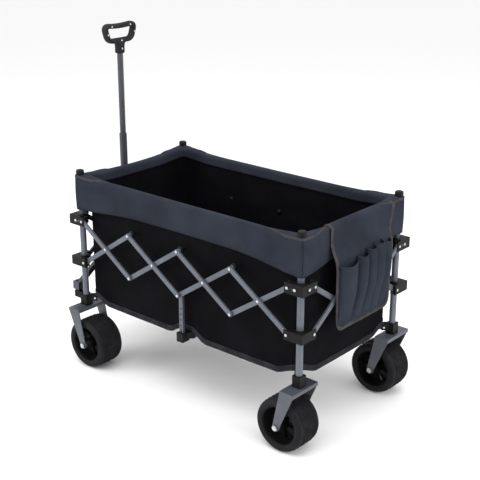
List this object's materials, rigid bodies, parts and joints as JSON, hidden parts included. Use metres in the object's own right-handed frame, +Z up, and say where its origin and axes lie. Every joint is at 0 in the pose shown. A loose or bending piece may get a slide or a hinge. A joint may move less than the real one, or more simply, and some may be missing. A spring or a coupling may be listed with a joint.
{
  "type": "folding camp wagon",
  "caption": "Folding camp wagon with crossing-bar sides on wide wheels, a fabric tub, a rear pocket panel and a telescopic pull handle.",
  "frame": {"origin": "middle of the wagon's footprint, on the ground", "axes": "+X towards the rear end with the pockets, +Y to the right side, +Z up; the handle is at -X"},
  "size_m": [1.078, 0.645, 1.18],
  "materials": {
    "post_steel": "satin grey powder coat",
    "bar_steel": "satin grey powder coat",
    "frame_steel": "satin grey powder coat",
    "fork_steel": "satin grey powder coat",
    "handle_steel": "satin grey powder coat",
    "bracket_plastic": "moulded black",
    "grip_plastic": "moulded black",
    "wheel_rubber": "black, lightly dusty",
    "tub_fabric": "black coated polyester",
    "mat_fabric": "black coated polyester",
    "pocket_fabric": "slate polyester with taupe binding"
  },
  "bodies": {
    "floor_arm_front_left": {"floor_arm_front_left": "frame_steel"},
    "floor_arm_front_right": {"floor_arm_front_right": "frame_steel"},
    "floor_arm_mid_left_front": {"floor_arm_mid_left_front": "frame_steel"},
    "floor_arm_mid_left_rear": {"floor_arm_mid_left_rear": "frame_steel"},
    "floor_arm_mid_right_front": {"floor_arm_mid_right_front": "frame_steel"},
    "floor_arm_mid_right_rear": {"floor_arm_mid_right_rear": "frame_steel"},
    "floor_arm_rear_left": {"floor_arm_rear_left": "frame_steel"},
    "floor_arm_rear_right": {"floor_arm_rear_right": "frame_steel"},
    "fork_front_left": {"fork_front_left": "fork_steel"},
    "fork_front_right": {"fork_front_right": "fork_steel"},
    "front_fall_1": {"front_fall_1": "bar_steel"},
    "front_fall_2": {"front_fall_2": "bar_steel"},
    "front_rise_1": {"front_rise_1": "bar_steel"},
    "front_rise_2": {"front_rise_2": "bar_steel"},
    "handle_inner_tube": {"handle_inner_tube": "handle_steel", "handle_grip": "grip_plastic"},
    "handle_outer_tube": {"handle_outer_tube": "handle_steel"},
    "left_fall_1": {"left_fall_1": "bar_steel"},
    "left_fall_2": {"left_fall_2": "bar_steel"},
    "left_fall_3": {"left_fall_3": "bar_steel"},
    "left_fall_4": {"left_fall_4": "bar_steel"},
    "left_rise_1": {"left_rise_1": "bar_steel"},
    "left_rise_2": {"left_rise_2": "bar_steel"},
    "left_rise_3": {"left_rise_3": "bar_steel"},
    "left_rise_4": {"left_rise_4": "bar_steel"},
    "post_front_left": {"post_front_left": "post_steel", "tub": "tub_fabric", "floor_mat": "mat_fabric"},
    "post_front_right": {"post_front_right": "post_steel"},
    "post_rear_left": {"post_rear_left": "post_steel", "fork_rear_left": "fork_steel", "pocket_panel": "pocket_fabric"},
    "post_rear_right": {"post_rear_right": "post_steel", "fork_rear_right": "fork_steel"},
    "rear_fall_1": {"rear_fall_1": "bar_steel"},
    "rear_fall_2": {"rear_fall_2": "bar_steel"},
    "rear_rise_1": {"rear_rise_1": "bar_steel"},
    "rear_rise_2": {"rear_rise_2": "bar_steel"},
    "right_fall_1": {"right_fall_1": "bar_steel"},
    "right_fall_2": {"right_fall_2": "bar_steel"},
    "right_fall_3": {"right_fall_3": "bar_steel"},
    "right_fall_4": {"right_fall_4": "bar_steel"},
    "right_rise_1": {"right_rise_1": "bar_steel"},
    "right_rise_2": {"right_rise_2": "bar_steel"},
    "right_rise_3": {"right_rise_3": "bar_steel"},
    "right_rise_4": {"right_rise_4": "bar_steel"},
    "slider_front_left": {"slider_front_left": "bracket_plastic"},
    "slider_front_right": {"slider_front_right": "bracket_plastic"},
    "slider_rear_left": {"slider_rear_left": "bracket_plastic"},
    "slider_rear_right": {"slider_rear_right": "bracket_plastic"},
    "strut_left": {"strut_left": "frame_steel"},
    "strut_right": {"strut_right": "frame_steel"},
    "wheel_front_left": {"wheel_front_left": "wheel_rubber"},
    "wheel_front_right": {"wheel_front_right": "wheel_rubber"},
    "wheel_rear_left": {"wheel_rear_left": "wheel_rubber"},
    "wheel_rear_right": {"wheel_rear_right": "wheel_rubber"},
    "yoke_arm_left": {"yoke_arm_left": "frame_steel"},
    "yoke_arm_right": {"yoke_arm_right": "frame_steel"},
    "yoke_hinge_left": {"yoke_hinge_left": "frame_steel"},
    "yoke_hinge_right": {"yoke_hinge_right": "frame_steel"}
  },
  "joints": [
    {"name": "fold", "type": "hinge", "parent": "post_front_left", "child": "left_fall_1", "pos_m": [-0.443, -0.275, 0.544], "axis": [0, 1, 0], "range_deg": [0, 42], "deforming": ["tub", "floor_mat", "pocket_panel"]},
    {"name": "left_rise_1_turn", "type": "hinge", "parent": "left_fall_1", "child": "left_rise_1", "pos_m": [-0.33025, -0.275, 0.468], "axis": [0, 1, 0], "range_deg": [-84.5, 0]},
    {"name": "left_rise_2_turn", "type": "hinge", "parent": "left_fall_1", "child": "left_rise_2", "pos_m": [-0.2175, -0.275, 0.392], "axis": [0, 1, 0], "range_deg": [-84.5, 0]},
    {"name": "left_fall_2_turn", "type": "hinge", "parent": "left_rise_2", "child": "left_fall_2", "pos_m": [-0.10475, -0.275, 0.468], "axis": [0, 1, 0], "range_deg": [0, 84.5]},
    {"name": "left_fall_3_turn", "type": "hinge", "parent": "left_rise_2", "child": "left_fall_3", "pos_m": [0.008, -0.275, 0.544], "axis": [0, 1, 0], "range_deg": [0, 84.5]},
    {"name": "left_rise_3_turn", "type": "hinge", "parent": "left_fall_3", "child": "left_rise_3", "pos_m": [0.12075, -0.275, 0.468], "axis": [0, 1, 0], "range_deg": [-84.5, 0]},
    {"name": "left_rise_4_turn", "type": "hinge", "parent": "left_fall_3", "child": "left_rise_4", "pos_m": [0.2335, -0.275, 0.392], "axis": [0, 1, 0], "range_deg": [-84.5, 0]},
    {"name": "left_fall_4_turn", "type": "hinge", "parent": "left_rise_4", "child": "left_fall_4", "pos_m": [0.34625, -0.275, 0.468], "axis": [0, 1, 0], "range_deg": [0, 84.5]},
    {"name": "post_rear_left_turn", "type": "hinge", "parent": "left_rise_4", "child": "post_rear_left", "pos_m": [0.459, -0.275, 0.544], "axis": [0, 1, 0], "range_deg": [0, 42.5]},
    {"name": "front_fall_1_turn", "type": "hinge", "parent": "post_front_left", "child": "front_fall_1", "pos_m": [-0.4925, -0.2255, 0.544], "axis": [-1, 0, 0], "range_deg": [0, 42.5]},
    {"name": "front_rise_1_turn", "type": "hinge", "parent": "front_fall_1", "child": "front_rise_1", "pos_m": [-0.4925, -0.11275, 0.468], "axis": [-1, 0, 0], "range_deg": [-84.5, 0]},
    {"name": "front_rise_2_turn", "type": "hinge", "parent": "front_fall_1", "child": "front_rise_2", "pos_m": [-0.4925, 0, 0.392], "axis": [-1, 0, 0], "range_deg": [-84.5, 0]},
    {"name": "front_fall_2_turn", "type": "hinge", "parent": "front_rise_2", "child": "front_fall_2", "pos_m": [-0.4925, 0.11275, 0.468], "axis": [-1, 0, 0], "range_deg": [0, 84.5]},
    {"name": "post_front_right_turn", "type": "hinge", "parent": "front_rise_2", "child": "post_front_right", "pos_m": [-0.4925, 0.2255, 0.544], "axis": [-1, 0, 0], "range_deg": [0, 42.5]},
    {"name": "right_fall_1_turn", "type": "hinge", "parent": "post_front_right", "child": "right_fall_1", "pos_m": [-0.443, 0.275, 0.544], "axis": [0, 1, 0], "range_deg": [0, 42.5]},
    {"name": "right_rise_1_turn", "type": "hinge", "parent": "right_fall_1", "child": "right_rise_1", "pos_m": [-0.33025, 0.275, 0.468], "axis": [0, 1, 0], "range_deg": [-84.5, 0]},
    {"name": "right_rise_2_turn", "type": "hinge", "parent": "right_fall_1", "child": "right_rise_2", "pos_m": [-0.2175, 0.275, 0.392], "axis": [0, 1, 0], "range_deg": [-84.5, 0]},
    {"name": "right_fall_2_turn", "type": "hinge", "parent": "right_rise_2", "child": "right_fall_2", "pos_m": [-0.10475, 0.275, 0.468], "axis": [0, 1, 0], "range_deg": [0, 84.5]},
    {"name": "right_fall_3_turn", "type": "hinge", "parent": "right_rise_2", "child": "right_fall_3", "pos_m": [0.008, 0.275, 0.544], "axis": [0, 1, 0], "range_deg": [0, 84.5]},
    {"name": "right_rise_3_turn", "type": "hinge", "parent": "right_fall_3", "child": "right_rise_3", "pos_m": [0.12075, 0.275, 0.468], "axis": [0, 1, 0], "range_deg": [-84.5, 0]},
    {"name": "right_rise_4_turn", "type": "hinge", "parent": "right_fall_3", "child": "right_rise_4", "pos_m": [0.2335, 0.275, 0.392], "axis": [0, 1, 0], "range_deg": [-84.5, 0]},
    {"name": "right_fall_4_turn", "type": "hinge", "parent": "right_rise_4", "child": "right_fall_4", "pos_m": [0.34625, 0.275, 0.468], "axis": [0, 1, 0], "range_deg": [0, 84.5]},
    {"name": "post_rear_right_turn", "type": "hinge", "parent": "right_rise_4", "child": "post_rear_right", "pos_m": [0.459, 0.275, 0.544], "axis": [0, 1, 0], "range_deg": [0, 42.5]},
    {"name": "rear_fall_1_turn", "type": "hinge", "parent": "post_rear_left", "child": "rear_fall_1", "pos_m": [0.5085, -0.2255, 0.544], "axis": [-1, 0, 0], "range_deg": [0, 42.5]},
    {"name": "rear_rise_1_turn", "type": "hinge", "parent": "rear_fall_1", "child": "rear_rise_1", "pos_m": [0.5085, -0.11275, 0.468], "axis": [-1, 0, 0], "range_deg": [-84.5, 0]},
    {"name": "rear_rise_2_turn", "type": "hinge", "parent": "rear_fall_1", "child": "rear_rise_2", "pos_m": [0.5085, 0, 0.392], "axis": [-1, 0, 0], "range_deg": [-84.5, 0]},
    {"name": "rear_fall_2_turn", "type": "hinge", "parent": "rear_rise_2", "child": "rear_fall_2", "pos_m": [0.5085, 0.11275, 0.468], "axis": [-1, 0, 0], "range_deg": [0, 84.5]},
    {"name": "slider_front_left_turn", "type": "hinge", "parent": "left_rise_1", "child": "slider_front_left", "pos_m": [-0.443, -0.275, 0.392], "axis": [0, 1, 0], "range_deg": [0, 42.5]},
    {"name": "slider_rear_left_turn", "type": "hinge", "parent": "left_fall_4", "child": "slider_rear_left", "pos_m": [0.459, -0.275, 0.392], "axis": [0, 1, 0], "range_deg": [-42.5, 0]},
    {"name": "strut_left_turn", "type": "hinge", "parent": "left_fall_2", "child": "strut_left", "pos_m": [0.008, -0.2645, 0.392], "axis": [0, 1, 0], "range_deg": [-42.5, 0]},
    {"name": "slider_front_right_turn", "type": "hinge", "parent": "right_rise_1", "child": "slider_front_right", "pos_m": [-0.443, 0.275, 0.392], "axis": [0, 1, 0], "range_deg": [0, 42.5]},
    {"name": "slider_rear_right_turn", "type": "hinge", "parent": "right_fall_4", "child": "slider_rear_right", "pos_m": [0.459, 0.275, 0.392], "axis": [0, 1, 0], "range_deg": [-42.5, 0]},
    {"name": "strut_right_turn", "type": "hinge", "parent": "right_fall_2", "child": "strut_right", "pos_m": [0.008, 0.2645, 0.392], "axis": [0, 1, 0], "range_deg": [-42.5, 0]},
    {"name": "floor_arm_front_left_turn", "type": "hinge", "parent": "post_front_left", "child": "floor_arm_front_left", "pos_m": [-0.45142, -0.23267, 0.244], "axis": [0.7275, -0.6861, 0], "range_deg": [0, 75.5]},
    {"name": "floor_arm_front_right_turn", "type": "hinge", "parent": "post_front_right", "child": "floor_arm_front_right", "pos_m": [-0.45142, 0.23267, 0.244], "axis": [-0.7275, -0.6861, 0], "range_deg": [0, 75.5]},
    {"name": "floor_arm_rear_left_turn", "type": "hinge", "parent": "post_rear_left", "child": "floor_arm_rear_left", "pos_m": [0.46742, -0.23267, 0.244], "axis": [0.7275, 0.6861, 0], "range_deg": [0, 75.5]},
    {"name": "floor_arm_rear_right_turn", "type": "hinge", "parent": "post_rear_right", "child": "floor_arm_rear_right", "pos_m": [0.46742, 0.23267, 0.244], "axis": [-0.7275, 0.6861, 0], "range_deg": [0, 75.5]},
    {"name": "floor_arm_mid_left_front_turn", "type": "hinge", "parent": "strut_left", "child": "floor_arm_mid_left_front", "pos_m": [-0.01258, -0.23267, 0.244], "axis": [0.7275, 0.6861, 0], "range_deg": [0, 75.5]},
    {"name": "floor_arm_mid_left_rear_turn", "type": "hinge", "parent": "strut_left", "child": "floor_arm_mid_left_rear", "pos_m": [0.02858, -0.23267, 0.244], "axis": [0.7275, -0.6861, 0], "range_deg": [0, 75.5]},
    {"name": "floor_arm_mid_right_front_turn", "type": "hinge", "parent": "strut_right", "child": "floor_arm_mid_right_front", "pos_m": [-0.01258, 0.23267, 0.244], "axis": [-0.7275, 0.6861, 0], "range_deg": [0, 75.5]},
    {"name": "floor_arm_mid_right_rear_turn", "type": "hinge", "parent": "strut_right", "child": "floor_arm_mid_right_rear", "pos_m": [0.02858, 0.23267, 0.244], "axis": [-0.7275, -0.6861, 0], "range_deg": [0, 75.5]},
    {"name": "caster_front_left_swivel", "type": "hinge", "parent": "post_front_left", "child": "fork_front_left", "pos_m": [-0.472, -0.2545, 0.22], "axis": [0, 0, 1], "continuous": true},
    {"name": "wheel_front_left_spin", "type": "hinge", "parent": "fork_front_left", "child": "wheel_front_left", "pos_m": [-0.432, -0.2545, 0.089], "axis": [0, 1, 0], "continuous": true},
    {"name": "caster_front_right_swivel", "type": "hinge", "parent": "post_front_right", "child": "fork_front_right", "pos_m": [-0.472, 0.2545, 0.22], "axis": [0, 0, 1], "continuous": true},
    {"name": "wheel_front_right_spin", "type": "hinge", "parent": "fork_front_right", "child": "wheel_front_right", "pos_m": [-0.432, 0.2545, 0.089], "axis": [0, 1, 0], "continuous": true},
    {"name": "wheel_rear_left_spin", "type": "hinge", "parent": "post_rear_left", "child": "wheel_rear_left", "pos_m": [0.448, -0.2545, 0.089], "axis": [0, 1, 0], "continuous": true},
    {"name": "wheel_rear_right_spin", "type": "hinge", "parent": "post_rear_right", "child": "wheel_rear_right", "pos_m": [0.448, 0.2545, 0.089], "axis": [0, 1, 0], "continuous": true},
    {"name": "handle_tilt", "type": "hinge", "parent": "post_front_left", "child": "yoke_hinge_left", "pos_m": [-0.524, -0.2435, 0.245], "axis": [0, -1, 0], "range_deg": [0, 80]},
    {"name": "yoke_arm_left_turn", "type": "hinge", "parent": "yoke_hinge_left", "child": "yoke_arm_left", "pos_m": [-0.524, -0.2435, 0.277], "axis": [1, 0, 0], "range_deg": [0, 42.5]},
    {"name": "yoke_hinge_right_turn", "type": "hinge", "parent": "post_front_right", "child": "yoke_hinge_right", "pos_m": [-0.524, 0.2435, 0.245], "axis": [0, -1, 0], "range_deg": [-0.5, 80.5]},
    {"name": "yoke_arm_right_turn", "type": "hinge", "parent": "yoke_hinge_right", "child": "yoke_arm_right", "pos_m": [-0.524, 0.2435, 0.277], "axis": [-1, 0, 0], "range_deg": [0, 42.5]},
    {"name": "handle_foot_turn", "type": "hinge", "parent": "yoke_arm_left", "child": "handle_outer_tube", "pos_m": [-0.524, -0.018, 0.429], "axis": [1, 0, 0], "range_deg": [-42.5, 0]},
    {"name": "handle_slide", "type": "slide", "parent": "handle_outer_tube", "child": "handle_inner_tube", "axis": [0, 0, 1], "range_m": [-0.255, 0]}
  ],
  "couplings": [
    {"joint": "left_rise_1_turn", "follows": "fold", "ratio": -2},
    {"joint": "left_rise_2_turn", "follows": "fold", "ratio": -2},
    {"joint": "left_fall_2_turn", "follows": "fold", "ratio": 2},
    {"joint": "left_fall_3_turn", "follows": "fold", "ratio": 2},
    {"joint": "left_rise_3_turn", "follows": "fold", "ratio": -2},
    {"joint": "left_rise_4_turn", "follows": "fold", "ratio": -2},
    {"joint": "left_fall_4_turn", "follows": "fold", "ratio": 2},
    {"joint": "post_rear_left_turn", "follows": "fold", "ratio": 1},
    {"joint": "front_fall_1_turn", "follows": "fold", "ratio": 1},
    {"joint": "front_rise_1_turn", "follows": "fold", "ratio": -2},
    {"joint": "front_rise_2_turn", "follows": "fold", "ratio": -2},
    {"joint": "front_fall_2_turn", "follows": "fold", "ratio": 2},
    {"joint": "post_front_right_turn", "follows": "fold", "ratio": 1},
    {"joint": "right_fall_1_turn", "follows": "fold", "ratio": 1},
    {"joint": "right_rise_1_turn", "follows": "fold", "ratio": -2},
    {"joint": "right_rise_2_turn", "follows": "fold", "ratio": -2},
    {"joint": "right_fall_2_turn", "follows": "fold", "ratio": 2},
    {"joint": "right_fall_3_turn", "follows": "fold", "ratio": 2},
    {"joint": "right_rise_3_turn", "follows": "fold", "ratio": -2},
    {"joint": "right_rise_4_turn", "follows": "fold", "ratio": -2},
    {"joint": "right_fall_4_turn", "follows": "fold", "ratio": 2},
    {"joint": "post_rear_right_turn", "follows": "fold", "ratio": 1},
    {"joint": "rear_fall_1_turn", "follows": "fold", "ratio": 1},
    {"joint": "rear_rise_1_turn", "follows": "fold", "ratio": -2},
    {"joint": "rear_rise_2_turn", "follows": "fold", "ratio": -2},
    {"joint": "rear_fall_2_turn", "follows": "fold", "ratio": 2},
    {"joint": "slider_front_left_turn", "follows": "fold", "ratio": 1},
    {"joint": "slider_rear_left_turn", "follows": "fold", "ratio": -1},
    {"joint": "strut_left_turn", "follows": "fold", "ratio": -1},
    {"joint": "slider_front_right_turn", "follows": "fold", "ratio": 1},
    {"joint": "slider_rear_right_turn", "follows": "fold", "ratio": -1},
    {"joint": "strut_right_turn", "follows": "fold", "ratio": -1},
    {"joint": "floor_arm_front_left_turn", "follows": "fold", "ratio": 1.7857},
    {"joint": "floor_arm_front_right_turn", "follows": "fold", "ratio": 1.7857},
    {"joint": "floor_arm_rear_left_turn", "follows": "fold", "ratio": 1.7857},
    {"joint": "floor_arm_rear_right_turn", "follows": "fold", "ratio": 1.7857},
    {"joint": "floor_arm_mid_left_front_turn", "follows": "fold", "ratio": 1.7857},
    {"joint": "floor_arm_mid_left_rear_turn", "follows": "fold", "ratio": 1.7857},
    {"joint": "floor_arm_mid_right_front_turn", "follows": "fold", "ratio": 1.7857},
    {"joint": "floor_arm_mid_right_rear_turn", "follows": "fold", "ratio": 1.7857},
    {"joint": "yoke_arm_left_turn", "follows": "fold", "ratio": 1},
    {"joint": "yoke_hinge_right_turn", "follows": "handle_tilt", "ratio": 1},
    {"joint": "yoke_arm_right_turn", "follows": "fold", "ratio": 1},
    {"joint": "handle_foot_turn", "follows": "fold", "ratio": -1}
  ]
}
